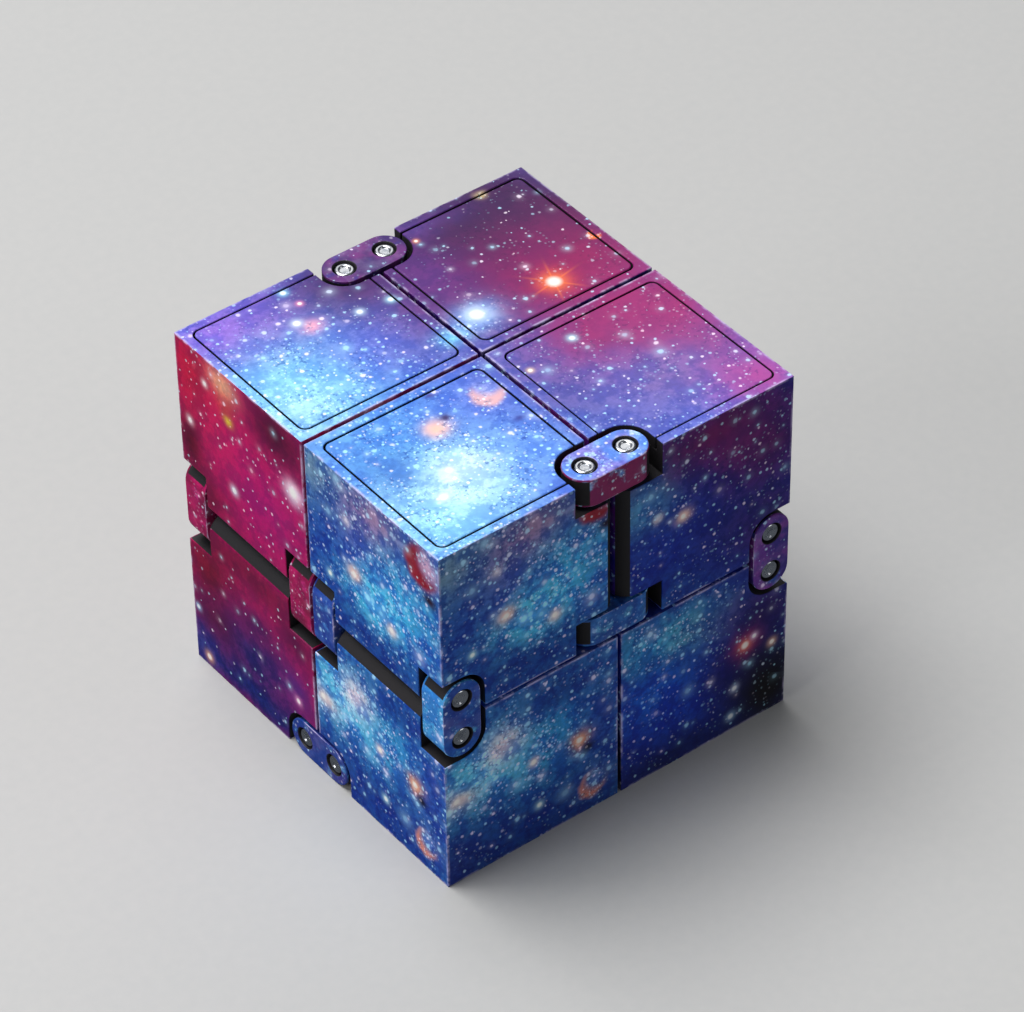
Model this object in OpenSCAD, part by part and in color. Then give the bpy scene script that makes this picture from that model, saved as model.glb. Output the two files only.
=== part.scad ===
// Folding fidget cube: eight hollow cubelets in a closed ring, joined edge to edge by double-pivot links.
// Origin: centre of the closed cube's base. +Z is up, the front face looks along -Y, +X is to the right.

/* [Cube] */
// Outer width of the closed cube
cube_w = 40; // [32:0.5:60]
// Gap between neighbouring cubelets when the cube is closed
gap = 0.4; // [0.3:0.02:0.6]

/* [Shells] */
// Wall of a cubelet's hollow shell
wall = 1.8; // [1.5:0.1:2.4]
// Width of the shell's rim, seen around the lid
rim = 1; // [0.8:0.1:1.2]
// Solid material left beside a link pocket, inside the shell
rib_wall = 1.2; // [0.8:0.1:2]

/* [Lids] */
// Thickness of a lid
lid_t = 1.4; // [1:0.1:2]
// Open seam between a lid and its rim
seam = 0.2; // [0.1:0.02:0.3]
// Corner radius of a lid
lid_corner_r = 0.7; // [0.3:0.1:1.5]
// Height of the skirt that locates a lid in its shell
skirt_h = 1.2; // [0.6:0.1:2]
// Thickness of that skirt
skirt_t = 1; // [0.8:0.1:1.6]
// Clearance between the skirt and the shell's inner walls
skirt_gap = 0.1; // [0.05:0.01:0.2]

/* [Hinge links] */
// Depth of each pin's axis below both outer faces; it is also the radius of a link's ends
pin_depth = 2.1; // [1.9:0.05:2.6]
// Thickness of a link, along its pins
link_t = 3.2; // [2.4:0.1:4]
// Clearance around a link in its pocket
pocket_gap = 0.55; // [0.3:0.05:0.8]
// Clearance under a link, at the pocket's floor
floor_gap = 0.4; // [0.2:0.05:0.8]
// Clearance kept by each rounded folding edge from the folding plane, as a hinge turns
edge_gap = 0.06; // [0.04:0.01:0.1]

/* [Pins] */
// Diameter of a pin's shank
shank_d = 1.2; // [0.9:0.05:1.4]
// Radial running clearance of a shank in its link
bore_gap = 0.05; // [0.02:0.01:0.08]
// Length of a shank that is pressed into the shell
grip = 4; // [2.5:0.1:4.2]
// Diameter of a pin's head
head_d = 1.9; // [1.6:0.05:2.2]
// Thickness of a pin's head
head_t = 0.6; // [0.4:0.05:0.9]
// How far a head sits below the link's face
head_drop = 0.12; // [0.05:0.01:0.3]
// Radial clearance around a head in its counterbore
head_gap = 0.18; // [0.1:0.01:0.3]
// Diameter of the dish in a head
dish_d = 1.1; // [0.6:0.05:1.4]
// Depth of that dish
dish_deep = 0.25; // [0.1:0.05:0.4]

/* [Hidden] */
$fn = 64;
// How far a cutting shape passes the face that it opens
over = 1;
cubelet = (cube_w - gap) / 2;
half = cubelet / 2;
link_r = pin_depth;
pitch = 2 * pin_depth + gap;
pocket_r = link_r + pocket_gap;
pocket_deep = link_t + floor_gap;
rib = pin_depth + pocket_r + rib_wall;
// A folding edge is rounded about its pin's axis, so that it stays behind the folding plane at every angle
fold_reach = pin_depth + gap / 2 - edge_gap;

// One row a cubelet: name, 1 for upper, 1 for right, 1 for rear, colour
CUBELETS = [
    ["upper_front_left", 1, 0, 0, "deepskyblue"],
    ["upper_front_right", 1, 1, 0, "mediumorchid"],
    ["upper_rear_left", 1, 0, 1, "mediumslateblue"],
    ["upper_rear_right", 1, 1, 1, "purple"],
    ["lower_front_left", 0, 0, 0, "steelblue"],
    ["lower_front_right", 0, 1, 0, "darkblue"],
    ["lower_rear_left", 0, 0, 1, "crimson"],
    ["lower_rear_right", 0, 1, 1, "indigo"]
];

// One row a hinge: name, row of the cubelet that it is drawn from, that cubelet's edge (0 or 1), and 1 where
// the links lie along the other face of that edge
HINGES = [
    ["front", 0, 0, 0],
    ["rear", 2, 0, 0],
    ["left_front", 0, 1, 0],
    ["left_rear", 2, 1, 0],
    ["right_front", 1, 1, 0],
    ["right_rear", 3, 1, 0],
    ["base_left", 4, 0, 1],
    ["base_right", 5, 0, 1]
];

// The two links of a hinge: at the outside of the cube, and in the middle of it
ENDS = [["outer", 1], ["inner", -1]];

// Row of the cubelet whose two rear pivots are left open
OPEN = 3;

// ---- placing ----

// Puts the pattern cubelet, drawn about its own centre, in its place in the closed cube.
// The lower cubelets are the mirror image of the upper ones, and lie on their side.
module at_cubelet(c) {
    lift = c[1] == 1 ? cube_w - half : half;
    mirror([c[2], 0, 0])
        mirror([0, c[3], 0])
            translate([-half - gap / 2, -half - gap / 2, lift])
                rotate([0, c[1] == 1 ? 0 : 90, 0])
                    mirror([0, 1 - c[1], 0])
                        children();
}

// Puts a shape on one of the pattern cubelet's folding edges: the pin's axis is Z, the middle of the edge is
// at z = 0, the neighbouring cubelet lies towards +X and the outer face towards -Y.
// Edges 0 and 1 have links. Edge 2, on the lower cubelets, has none but folds beside the front and rear links.
module at_edge(edge) {
    in = half - pin_depth;
    if (edge == 0)
        translate([in, -in, 0])
            children();
    if (edge == 1)
        translate([-in, 0, -in])
            rotate([0, 90, 0])
                rotate([90, 0, 0])
                    children();
    if (edge == 2)
        translate([0, in, in])
            rotate([0, -90, 0])
                rotate([0, 0, 90])
                    children();
}

// Puts a shape on the pivot at one end of an edge, with the cubelet's end face at z = 0
module at_pivot(edge, side) {
    at_edge(edge)
        mirror([0, 0, side < 0 ? 1 : 0])
            translate([0, 0, half])
                children();
}

// ---- shells ----

// The room that a link sweeps as it turns a quarter turn about its pin
module pocket() {
    far = pin_depth + over;
    translate([0, 0, -pocket_deep])
        linear_extrude(pocket_deep + over)
            union() {
                circle(pocket_r);
                translate([-pocket_r, -far])
                    square([pocket_r + far, far]);
                translate([0, -far])
                    square([far, far + pocket_r]);
            }
}

// Rounds a folding edge about the pin's axis, from one end face to the other
module edge_round() {
    far = pin_depth + over;
    linear_extrude(cubelet + 2 * over, center = true)
        difference() {
            translate([0, -far])
                square([far, far]);
            circle(fold_reach);
        }
}

// A square with rounded corners, about its centre
module rounded_square(w, r) {
    inner = w - 2 * r;
    union() {
        square([w, inner], center = true);
        square([inner, w], center = true);
        for (x = [-1, 1], y = [-1, 1])
            translate([x * inner / 2, y * inner / 2])
                circle(r);
    }
}

// Solid corner ribs that hold the link pockets and the pins
module ribs() {
    translate([half - rib, -half, -half])
        cube([rib, rib, cubelet]);
    translate([-half, -half, -half])
        cube([rib, cubelet, rib]);
}

module shell(lower) {
    room = cubelet - 2 * wall;
    difference() {
        union() {
            difference() {
                cube(cubelet, center = true);
                translate([-room / 2, -room / 2, wall - half])
                    cube([room, room, cubelet]);
            }
            ribs();
        }
        translate([0, 0, half - lid_t])
            linear_extrude(lid_t + over)
                rounded_square(cubelet - 2 * rim, lid_corner_r + seam);
        for (edge = [0 : lower ? 2 : 1])
            at_edge(edge)
                edge_round();
        for (edge = [0, 1], side = [-1, 1])
            at_pivot(edge, side) {
                pocket();
                translate([0, 0, -pocket_deep - grip])
                    cylinder(h = grip + over, d = shank_d);
            }
    }
}

// ---- lids ----

module skirt() {
    outer = cubelet - 2 * wall - 2 * skirt_gap;
    inner = outer - 2 * skirt_t;
    corner = rib + skirt_gap;
    difference() {
        translate([-outer / 2, -outer / 2, -skirt_h])
            cube([outer, outer, skirt_h]);
        translate([-inner / 2, -inner / 2, -skirt_h - over])
            cube([inner, inner, skirt_h + 2 * over]);
        translate([half - corner, -half, -skirt_h - over])
            cube([corner, corner, skirt_h + 2 * over]);
    }
}

module lid(lower) {
    difference() {
        union() {
            translate([0, 0, half - lid_t])
                linear_extrude(lid_t)
                    rounded_square(cubelet - 2 * rim - 2 * seam, lid_corner_r);
            translate([0, 0, half - lid_t])
                skirt();
        }
        at_pivot(0, 1)
            pocket();
        if (lower)
            at_edge(2)
                edge_round();
    }
}

// ---- links ----

module link() {
    bore_d = shank_d + 2 * bore_gap;
    seat_d = head_d + 2 * head_gap;
    seat_deep = head_drop + head_t;
    difference() {
        translate([0, 0, -link_t])
            linear_extrude(link_t)
                union() {
                    translate([0, -link_r])
                        square([pitch, 2 * link_r]);
                    circle(link_r);
                    translate([pitch, 0])
                        circle(link_r);
                }
        for (x = [0, pitch])
            translate([x, 0, 0]) {
                translate([0, 0, -link_t - over])
                    cylinder(h = link_t + 2 * over, d = bore_d);
                translate([0, 0, -seat_deep])
                    cylinder(h = seat_deep + over, d = seat_d);
            }
    }
}

// ---- pins ----

// A headed pin with a dished face, whose shank ends at the given depth below the link's face
module pin(deep) {
    difference() {
        union() {
            translate([0, 0, -head_drop - head_t])
                cylinder(h = head_t, d = head_d);
            translate([0, 0, -deep])
                cylinder(h = deep - head_drop - head_t / 2, d = shank_d);
        }
        translate([0, 0, -head_drop - dish_deep])
            cylinder(h = dish_deep, d1 = dish_d * 0.7, d2 = dish_d);
    }
}

// Both pins of one hinge edge
module pin_pair(edge, deep) {
    for (side = [-1, 1])
        at_pivot(edge, side)
            pin(deep);
}

// ---- the parts ----

for (i = [0 : len(CUBELETS) - 1]) {
    c = CUBELETS[i];
    color(c[4])
            at_cubelet(c)
                shell(c[1] == 0);
    color(c[4])
            at_cubelet(c)
                lid(c[1] == 0);
    color("silver")
            at_cubelet(c) {
                if (i != OPEN)
                    pin_pair(0, pocket_deep + grip);
                pin_pair(1, pocket_deep + grip);
            }
}

for (h = HINGES, e = ENDS)
    color(CUBELETS[h[1]][4])
            at_cubelet(CUBELETS[h[1]])
                at_pivot(h[2], h[3] == 1 ? -e[1] : e[1])
                    mirror([h[3], h[3], 0])
                        link();

// These two pins turn in the rear links and stop short of the shell, so that the ring can open here
color("silver")  // pins_open_pivot
        at_cubelet(CUBELETS[OPEN])
            pin_pair(0, link_t);
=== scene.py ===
# %% [markdown]
# # A folding cube with a night-sky print
# The toy is eight small plastic boxes in a closed ring. Short links with steel pins join each box to the
# next, and a picture of the night sky is printed over the outside of everything. The shapes, joints and
# sizes come ready made from the CAD frame. This script gives each piece its moulded edges and its print,
# adds the turned pins, and sets up a small studio. Every cell below is one step, so the file can be read
# from top to bottom.

import bmesh
import bpy
from mathutils import Matrix, Vector


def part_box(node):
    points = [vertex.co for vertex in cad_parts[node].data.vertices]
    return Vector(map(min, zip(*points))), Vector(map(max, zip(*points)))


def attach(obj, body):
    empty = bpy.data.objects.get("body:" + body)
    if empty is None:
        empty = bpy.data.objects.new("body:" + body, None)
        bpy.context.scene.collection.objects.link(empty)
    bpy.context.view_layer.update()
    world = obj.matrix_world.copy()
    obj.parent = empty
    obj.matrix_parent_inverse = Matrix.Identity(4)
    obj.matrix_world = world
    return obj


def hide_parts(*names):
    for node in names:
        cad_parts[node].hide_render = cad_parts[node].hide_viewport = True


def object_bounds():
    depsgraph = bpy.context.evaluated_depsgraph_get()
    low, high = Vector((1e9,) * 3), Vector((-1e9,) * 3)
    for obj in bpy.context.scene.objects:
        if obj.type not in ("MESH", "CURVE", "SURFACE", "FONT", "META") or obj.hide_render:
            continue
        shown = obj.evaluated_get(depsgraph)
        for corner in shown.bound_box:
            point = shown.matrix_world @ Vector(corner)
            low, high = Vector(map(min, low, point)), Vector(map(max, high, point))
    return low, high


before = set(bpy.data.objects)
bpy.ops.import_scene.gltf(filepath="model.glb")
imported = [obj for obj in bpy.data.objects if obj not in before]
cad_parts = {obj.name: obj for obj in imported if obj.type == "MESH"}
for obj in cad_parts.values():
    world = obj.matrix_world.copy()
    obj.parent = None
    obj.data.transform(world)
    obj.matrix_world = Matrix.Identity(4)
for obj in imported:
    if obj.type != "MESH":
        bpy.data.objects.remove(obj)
cad_low, cad_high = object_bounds()

# %% [markdown]
# Lengths in Blender are metres, while this toy is a few centimetres across. One value, MM, turns
# millimetres into metres. The main sizes are read off the frame, so that a changed CAD model changes this
# scene as well.

# %% Sizes
MM = 0.001

cube_size = cad_high[2] - cad_low[2]
box_low, box_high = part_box("shell_upper_front_left")
cubelet_size = box_high[0] - box_low[0]
half = cubelet_size / 2
gap = cube_size - 2 * cubelet_size
middle = (cad_low[2] + cad_high[2]) / 2
print("cubelet", round(cubelet_size / MM, 2), "mm, gap", round(gap / MM, 2), "mm")

# %% [markdown]
# The eight boxes stand in four columns of two. Naming the columns and the hinges once lets every later
# step run over them in a loop.

# %% Names
COLUMNS = ["front_left", "front_right", "rear_left", "rear_right"]
HINGES = ["front", "rear", "left_front", "left_rear", "right_front", "right_rear", "base_left", "base_right"]
print("columns", len(COLUMNS), "and hinges", len(HINGES))


def centre_of(node):
    """The middle of a CAD node's box."""
    low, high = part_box(node)
    return (Vector(low) + Vector(high)) / 2


# %% [markdown]
# A camera is a point, a direction and a lens. Small goods are best shown from a little way off through a
# long lens, so that the edges of a small box stay nearly parallel. The camera here looks down at the
# front corner. It is placed by its azimuth and elevation round the toy, which is easier to think about
# than three angles.

# %% Camera
from math import cos, radians, sin

azimuth = radians(-36.98)
elevation = radians(41.05)
roll = radians(-1.05)
camera_distance = 441.3 * MM
aside = 2.47 * MM
above = 1.34 * MM
sensor_width = 36
focal_length = 166.6

target = Vector((0, 0, middle))
back = Vector((sin(azimuth) * cos(elevation), -cos(azimuth) * cos(elevation), sin(elevation)))
level = Vector((cos(azimuth), sin(azimuth), 0))
upward = back.cross(level)
right = level * cos(roll) + upward * sin(roll)
up = upward * cos(roll) - level * sin(roll)

camera_data = bpy.data.cameras.new("studio_camera")
camera_data.sensor_width = sensor_width
camera_data.lens = focal_length
camera_data.clip_start = 0.01
camera = bpy.data.objects.new("studio_camera", camera_data)
stand = target + back * camera_distance + right * aside + up * above
camera.matrix_world = Matrix.Translation(stand) @ Matrix((right, up, back)).transposed().to_4x4()
bpy.context.scene.collection.objects.link(camera)
bpy.context.scene.camera = camera
print("camera", [round(value, 3) for value in camera.matrix_world.translation])

# %% [markdown]
# The studio light is soft: large area lamps give wide, gentle highlights on satin plastic. The largest
# hangs overhead and a little behind, so the top is the brightest side. A second lamp fills the left side,
# a weak one keeps the front from going black, and one high behind is there to be mirrored in the pins.
# The Standard view keeps the print's strong colours as painted.

# %% Lights and surroundings
bpy.context.scene.view_settings.view_transform = "Standard"


def soft_lamp(name, place, size, power):
    """Adds a square area lamp, at a place in metres, that faces the toy."""
    data = bpy.data.lights.new(name, "AREA")
    data.size = size
    data.energy = power
    lamp = bpy.data.objects.new(name, data)
    towards_toy = (Vector(place) - target).to_track_quat("Z", "Y").to_matrix().to_4x4()
    lamp.matrix_world = Matrix.Translation(place) @ towards_toy
    bpy.context.scene.collection.objects.link(lamp)


LAMPS = {
    # name: place in metres, width in metres, power in watts
    "overhead_lamp": ((-0.15, 0.25, 0.75), 0.5, 7.2),
    "left_lamp": ((-0.7, 0.05, 0.38), 0.4, 1.8),
    "front_lamp": ((0.4, -0.7, 0.42), 0.4, 0.5),
    "back_lamp": ((0.45, 0.6, 0.65), 0.6, 0.9),
}
for name, settings in LAMPS.items():
    soft_lamp(name, *settings)

world = bpy.data.worlds.new("studio_air")
world.use_nodes = True
air = world.node_tree.nodes["Background"]
air.inputs["Color"].default_value = (0.80, 0.88, 1.0, 1)
air.inputs["Strength"].default_value = 0.09
bpy.context.scene.world = world
print("lamps", len(LAMPS))

# %% [markdown]
# Materials are made of nodes. A node takes values in at its left and gives values out at its right.
# Adding and linking them one by one makes long code, so one helper makes any node with its inputs, and
# the others use it for the commonest sums. They give back outputs, which can go straight into the next
# call.


# %% Node helpers
EULER = 2.718


def feed(tree, socket, value):
    """Links an output to this socket, or sets the socket's own value."""
    if isinstance(value, bpy.types.NodeSocket):
        tree.links.new(value, socket)
    else:
        socket.default_value = value


def made(tree, kind, inputs=None, **settings):
    """Makes a node with these settings, feeds its inputs by name or number, and returns all its outputs."""
    node = tree.nodes.new(kind)
    for name, setting in settings.items():
        setattr(node, name, setting)
    for name, value in (inputs or {}).items():
        feed(tree, node.inputs[name], value)
    return node.outputs


def number(tree, operation, *values, clamp=False):
    """A Math node."""
    inputs = dict(enumerate(values))
    return made(tree, "ShaderNodeMath", inputs, operation=operation, use_clamp=clamp)["Value"]


def product(tree, first, *others, clamp=False):
    """Two or more numbers multiplied together."""
    for other in others:
        first = number(tree, "MULTIPLY", first, other, clamp=clamp)
    return first


def vector(tree, operation, *values):
    """A Vector Math node. LENGTH, DISTANCE and DOT_PRODUCT give a number."""
    outputs = made(tree, "ShaderNodeVectorMath", dict(enumerate(values)), operation=operation)
    return outputs["Value" if operation in ("LENGTH", "DISTANCE", "DOT_PRODUCT") else "Vector"]


def mixed(tree, amount, first, second, mode="MIX"):
    """A Mix node for colours: the first colour where the amount is 0, the second where it is 1."""
    inputs = {0: amount, 6: first, 7: second}
    return made(tree, "ShaderNodeMix", inputs, data_type="RGBA", blend_type=mode)[2]


def ramped(tree, value, start, end, low=0.0, high=1.0):
    """A smooth step: low before start, high after end. It also runs backwards if end is below start."""
    inputs = {"Value": value, "From Min": start, "From Max": end, "To Min": low, "To Max": high}
    return made(tree, "ShaderNodeMapRange", inputs, interpolation_type="SMOOTHSTEP")["Result"]


def noise(tree, point, size, detail=2.0, roughness=0.5, output="Fac"):
    """A Noise node with features of about this size, in the units of the point."""
    inputs = {"Vector": point, "Scale": 1 / size, "Detail": detail, "Roughness": roughness}
    return made(tree, "ShaderNodeTexNoise", inputs)[output]


def bell(tree, value, width):
    """The bell-shaped curve: 1 where the value is 0, fading to nothing at about twice the width."""
    ratio = number(tree, "DIVIDE", value, width)
    return number(tree, "POWER", EULER, product(tree, ratio, ratio, -1.0))


def split(tree, value):
    """The X, Y and Z of a vector, as three outputs."""
    return made(tree, "ShaderNodeSeparateXYZ", {0: value})


def joined(tree, **parts):
    """A vector from its X, Y and Z. Parts not named are 0."""
    return made(tree, "ShaderNodeCombineXYZ", parts)[0]


def paint(code):
    """Turns a colour written as on a chart, such as #3A7BD5, into the linear values that Blender mixes."""
    channels = [int(code[i : i + 2], 16) / 255 for i in (1, 3, 5)]
    return [c / 12.92 if c <= 0.04045 else ((c + 0.055) / 1.055) ** 2.4 for c in channels] + [1]


# %% [markdown]
# A node group is a small material tool with named inputs and outputs. It is built once and then placed
# wherever it is wanted, like a function. The two helpers here start a new group and place a finished one.
# A group's inputs and outputs are written as names, each with its kind.


# %% Group helpers
COLOUR = "NodeSocketColor"
VALUE = "NodeSocketFloat"
VECTOR = "NodeSocketVector"


def start_group(name, inputs, outputs):
    """A new node group, as its tree, the outputs to read from and the inputs to feed."""
    tree = bpy.data.node_groups.new(name, "ShaderNodeTree")
    for direction, rows in (("INPUT", inputs), ("OUTPUT", outputs)):
        for row_name, kind in rows.items():
            tree.interface.new_socket(name=row_name, in_out=direction, socket_type=kind)
    print("node group:", name)
    return tree, tree.nodes.new("NodeGroupInput").outputs, tree.nodes.new("NodeGroupOutput").inputs


def place(tree, group, **values):
    """Places a group and returns its outputs. An underscore in a keyword stands for a space."""
    inputs = {name.replace("_", " "): value for name, value in values.items()}
    return made(tree, "ShaderNodeGroup", inputs, node_tree=group)


# %% [markdown]
# The sky is printed on eight boxes, so a point of plastic has to know which part of the picture it shows.
# This group takes the place on the toy and the middle of the box. The box's face is the direction in
# which the point is furthest out. The picture on the top and bottom is laid out in x and y, and the one
# on the sides in distance along the side and height. Plastic that is not on a face, such as a hinge
# pocket or a seam, stays unprinted.

# %% Group: where the print lies
PICTURE_WIDTH = 20.0
FACE_MATCH = 0.0001
EDGE_BAND = (0.3, 0.05)

layout, given, result = start_group(
    "Print layout",
    {"Place": VECTOR, "Box centre": VECTOR, "Half width": VALUE, "Depth": VALUE},
    {"Flat point": VECTOR, "Side point": VECTOR, "Level face": VALUE, "Printed": VALUE, "Edge": VALUE},
)
offset = vector(layout, "SUBTRACT", given["Place"], given["Box centre"])
out = split(layout, vector(layout, "ABSOLUTE", offset))
at = split(layout, given["Place"])
sign = split(layout, vector(layout, "SIGN", offset))

outermost = number(layout, "MAXIMUM", out["X"], number(layout, "MAXIMUM", out["Y"], out["Z"]))
on_z = number(layout, "COMPARE", out["Z"], outermost, FACE_MATCH)
on_x = number(layout, "COMPARE", out["X"], outermost, FACE_MATCH)
part_y = product(layout, on_x, sign["X"], at["Y"])
part_x = product(layout, number(layout, "SUBTRACT", 1.0, on_x), sign["Y"], at["X"], -1.0)
along = number(layout, "FLOORED_MODULO", number(layout, "ADD", part_y, part_x), PICTURE_WIDTH)

total = number(layout, "ADD", out["X"], number(layout, "ADD", out["Y"], out["Z"]))
innermost = number(layout, "MINIMUM", out["X"], number(layout, "MINIMUM", out["Y"], out["Z"]))
second = number(layout, "SUBTRACT", total, number(layout, "ADD", outermost, innermost))
from_edge = number(layout, "SUBTRACT", given["Half width"], second)
inside = number(layout, "SUBTRACT", given["Half width"], outermost)
printed = ramped(layout, inside, given["Depth"], product(layout, given["Depth"], 0.8))
feed(layout, result["Flat point"], joined(layout, X=at["X"], Y=at["Y"]))
feed(layout, result["Side point"], joined(layout, X=along, Y=at["Z"]))
feed(layout, result["Level face"], on_z)
feed(layout, result["Printed"], printed)
# Edge is the band along the box's edges where a pale highlight is painted.
feed(layout, result["Edge"], ramped(layout, from_edge, *EDGE_BAND))

# %% [markdown]
# Night skies are built from soft patches of glowing gas. One patch is a colour that fades out from its
# middle, by the bell-shaped curve e to the power of minus distance squared. Placing this group many
# times, each laid over the last, paints a whole nebula.

# %% Group: one patch of cloud
cloud, given, result = start_group(
    "Gas cloud",
    {"Base": COLOUR, "Point": VECTOR, "Centre": VECTOR, "Reach": VECTOR, "Colour": COLOUR, "Amount": VALUE},
    {"Colour": COLOUR},
)
offset = vector(cloud, "SUBTRACT", given["Point"], given["Centre"])
away = vector(cloud, "LENGTH", vector(cloud, "DIVIDE", offset, given["Reach"]))
strength = product(cloud, bell(cloud, away, 1.0), given["Amount"], clamp=True)
feed(cloud, result["Colour"], mixed(cloud, strength, given["Base"], given["Colour"]))

# %% [markdown]
# Real gas has wisps and curls. Bending the coordinates with noise, before the patches are placed, gives
# every patch a ragged outline for the price of two noise nodes.

# %% Group: ragged coordinates
ragged, given, result = start_group(
    "Ragged point", {"Point": VECTOR, "Large": VALUE, "Small": VALUE}, {"Point": VECTOR}
)


def shaken(tree, point, size, amount, detail):
    """A vector of noise about zero, times an amount, with nothing along Z."""
    wobble = vector(tree, "SUBTRACT", noise(tree, point, size, detail, output="Color"), (0.5, 0.5, 0.5))
    inputs = {"Vector": wobble, "Scale": amount}
    scaled = made(tree, "ShaderNodeVectorMath", inputs, operation="SCALE")["Vector"]
    return vector(tree, "MULTIPLY", scaled, (1, 1, 0))


bend = shaken(ragged, given["Point"], 5.0, given["Large"], 3.0)
curl = shaken(ragged, given["Point"], 1.2, given["Small"], 2.0)
feed(ragged, result["Point"], vector(ragged, "ADD", given["Point"], vector(ragged, "ADD", bend, curl)))

# %% [markdown]
# A few objects in the sky are more than patches. The largest stars burn white in the middle, glow around
# it and throw six thin rays. All of it is measured in the star's own size. Two rays are one thin bar, a
# narrow bell curve across it times a wide one along it, and three turned bars make the six.

# %% Group: large star
RAY_TURNS = (20, 80, 140)
RAY_WIDTH = 0.16
RAY_LENGTH = 1.9
HALO_WIDTH = 1.25
WHITE_HEART = (1, 1, 0.96, 1)

beacon, given, result = start_group(
    "Large star",
    {"Base": COLOUR, "Point": VECTOR, "Centre": VECTOR, "Size": VALUE, "Colour": COLOUR, "Rays": VALUE},
    {"Colour": COLOUR},
)
offset = vector(beacon, "SUBTRACT", given["Point"], given["Centre"])
away = vector(beacon, "LENGTH", offset)
thin = product(beacon, given["Size"], RAY_WIDTH)
long = product(beacon, given["Size"], RAY_LENGTH)
rays = 0.0
for turn in RAY_TURNS:
    inputs = {"Vector": offset, "Angle": radians(turn)}
    turned_point = made(beacon, "ShaderNodeVectorRotate", inputs, rotation_type="Z_AXIS")["Vector"]
    arm = split(beacon, turned_point)
    ray = product(beacon, bell(beacon, arm["X"], thin), bell(beacon, arm["Y"], long))
    rays = number(beacon, "MAXIMUM", rays, ray)
halo = product(beacon, bell(beacon, away, product(beacon, given["Size"], HALO_WIDTH)), 0.85)
shine = number(beacon, "MAXIMUM", halo, product(beacon, rays, given["Rays"]), clamp=True)
core = ramped(beacon, away, given["Size"], product(beacon, given["Size"], 0.35))
whitened = mixed(beacon, 0.8, given["Colour"], WHITE_HEART)
lit = mixed(beacon, shine, given["Base"], given["Colour"])
feed(beacon, result["Colour"], mixed(beacon, core, lit, whitened))

# %% [markdown]
# Shells of gas look like crescents: a disc with a second disc bitten out of it. Lean says which way the
# second disc is moved, and its size is nearly that of the first.

# %% Group: crescent
crescent, given, result = start_group(
    "Crescent",
    {"Base": COLOUR, "Point": VECTOR, "Centre": VECTOR, "Size": VALUE, "Lean": VECTOR, "Colour": COLOUR},
    {"Colour": COLOUR},
)
away = vector(crescent, "DISTANCE", given["Point"], given["Centre"])
disc = ramped(crescent, away, given["Size"], product(crescent, given["Size"], 0.6), 0.0, 0.9)
bitten = vector(crescent, "DISTANCE", given["Point"], vector(crescent, "ADD", given["Centre"], given["Lean"]))
wide = product(crescent, given["Size"], 0.95)
bite = ramped(crescent, bitten, product(crescent, wide, 0.35), wide)
shown = product(crescent, disc, bite)
feed(crescent, result["Colour"], mixed(crescent, shown, given["Base"], given["Colour"]))

# %% [markdown]
# Stars are round dots scattered without a pattern. A Voronoi texture scatters points, one in each cell,
# and gives the distance to the nearest. A small distance is a star. The cell's random colour sets each
# star's size, whether it is there at all, and its tint. A wide faint ring of the same distance makes the
# bright ones glow.

# %% Group: a layer of stars
stars, given, result = start_group(
    "Star layer",
    {"Point": VECTOR, "Spacing": VALUE, "Radius": VALUE, "Share": VALUE},
    {"Star": VALUE, "Glow": VALUE, "Tint": VALUE},
)
inputs = {"Vector": given["Point"], "Scale": number(stars, "DIVIDE", 1.0, given["Spacing"])}
cells = made(stars, "ShaderNodeTexVoronoi", inputs, voronoi_dimensions="2D")
chance = made(stars, "ShaderNodeSeparateColor", {0: cells["Color"]})
reach = product(stars, given["Radius"], ramped(stars, chance["Red"], 0.0, 1.0, 0.45, 1.0))
distance = product(stars, cells["Distance"], given["Spacing"])
present = number(stars, "LESS_THAN", chance["Green"], given["Share"])
core = ramped(stars, distance, reach, product(stars, reach, 0.4))
glow = bell(stars, distance, product(stars, reach, 1.7))
feed(stars, result["Star"], product(stars, core, present))
feed(stars, result["Glow"], product(stars, glow, present))
feed(stars, result["Tint"], chance["Blue"])

# %% [markdown]
# The whole print puts these together: a painted sky goes in, and comes out with grain in its gas and four
# sizes of star, from dust to the few bright ones. Blue gas is the most broken up, and takes cooler and
# warmer tones in turn. Dust is thick only in drifts, and there it throws small dark specks as well, as in
# the real sky.

# %% Group: starry print
COOLER = (0.4, 0.62, 0.95, 1)
WARMER = (1.4, 1.35, 1.15, 1)
SPECK = (0.34, 0.45, 0.66, 1)
BRIGHTER = (2.4, 2.4, 2.4, 1)
LAYERS = [
    # spacing, radius, share of cells, strength, glow
    (0.5, 0.16, 0.8, 0.75, 0.0),
    (0.9, 0.22, 0.55, 0.95, 0.0),
    (1.8, 0.33, 0.5, 1.0, 0.12),
    (4.4, 0.44, 0.45, 1.0, 0.35),
]

starry, given, result = start_group(
    "Starry print",
    {"Sky": COLOUR, "Point": VECTOR, "Billow": VALUE, "Dust": VALUE, "Stars": VALUE, "Star size": VALUE},
    {"Colour": COLOUR},
)
sky = given["Sky"]
grain = noise(starry, given["Point"], 0.6, 3.0, 0.65)
drift = noise(starry, given["Point"], 3.2, 2.0)
billow = noise(starry, given["Point"], 2.4, 4.0, 0.6)
clump = noise(starry, given["Point"], 0.5, 2.0, 0.6)
sky_parts = made(starry, "ShaderNodeSeparateColor", {0: sky})
blueness = number(starry, "SUBTRACT", sky_parts["Blue"], sky_parts["Red"])
broken = product(starry, ramped(starry, blueness, -0.05, 0.25, 0.25, 1.0), given["Billow"])
lightness = made(starry, "ShaderNodeRGBToBW", {"Color": sky})["Val"]
crowded = ramped(starry, lightness, 0.0, 0.4, 0.35, 1.1)

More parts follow.
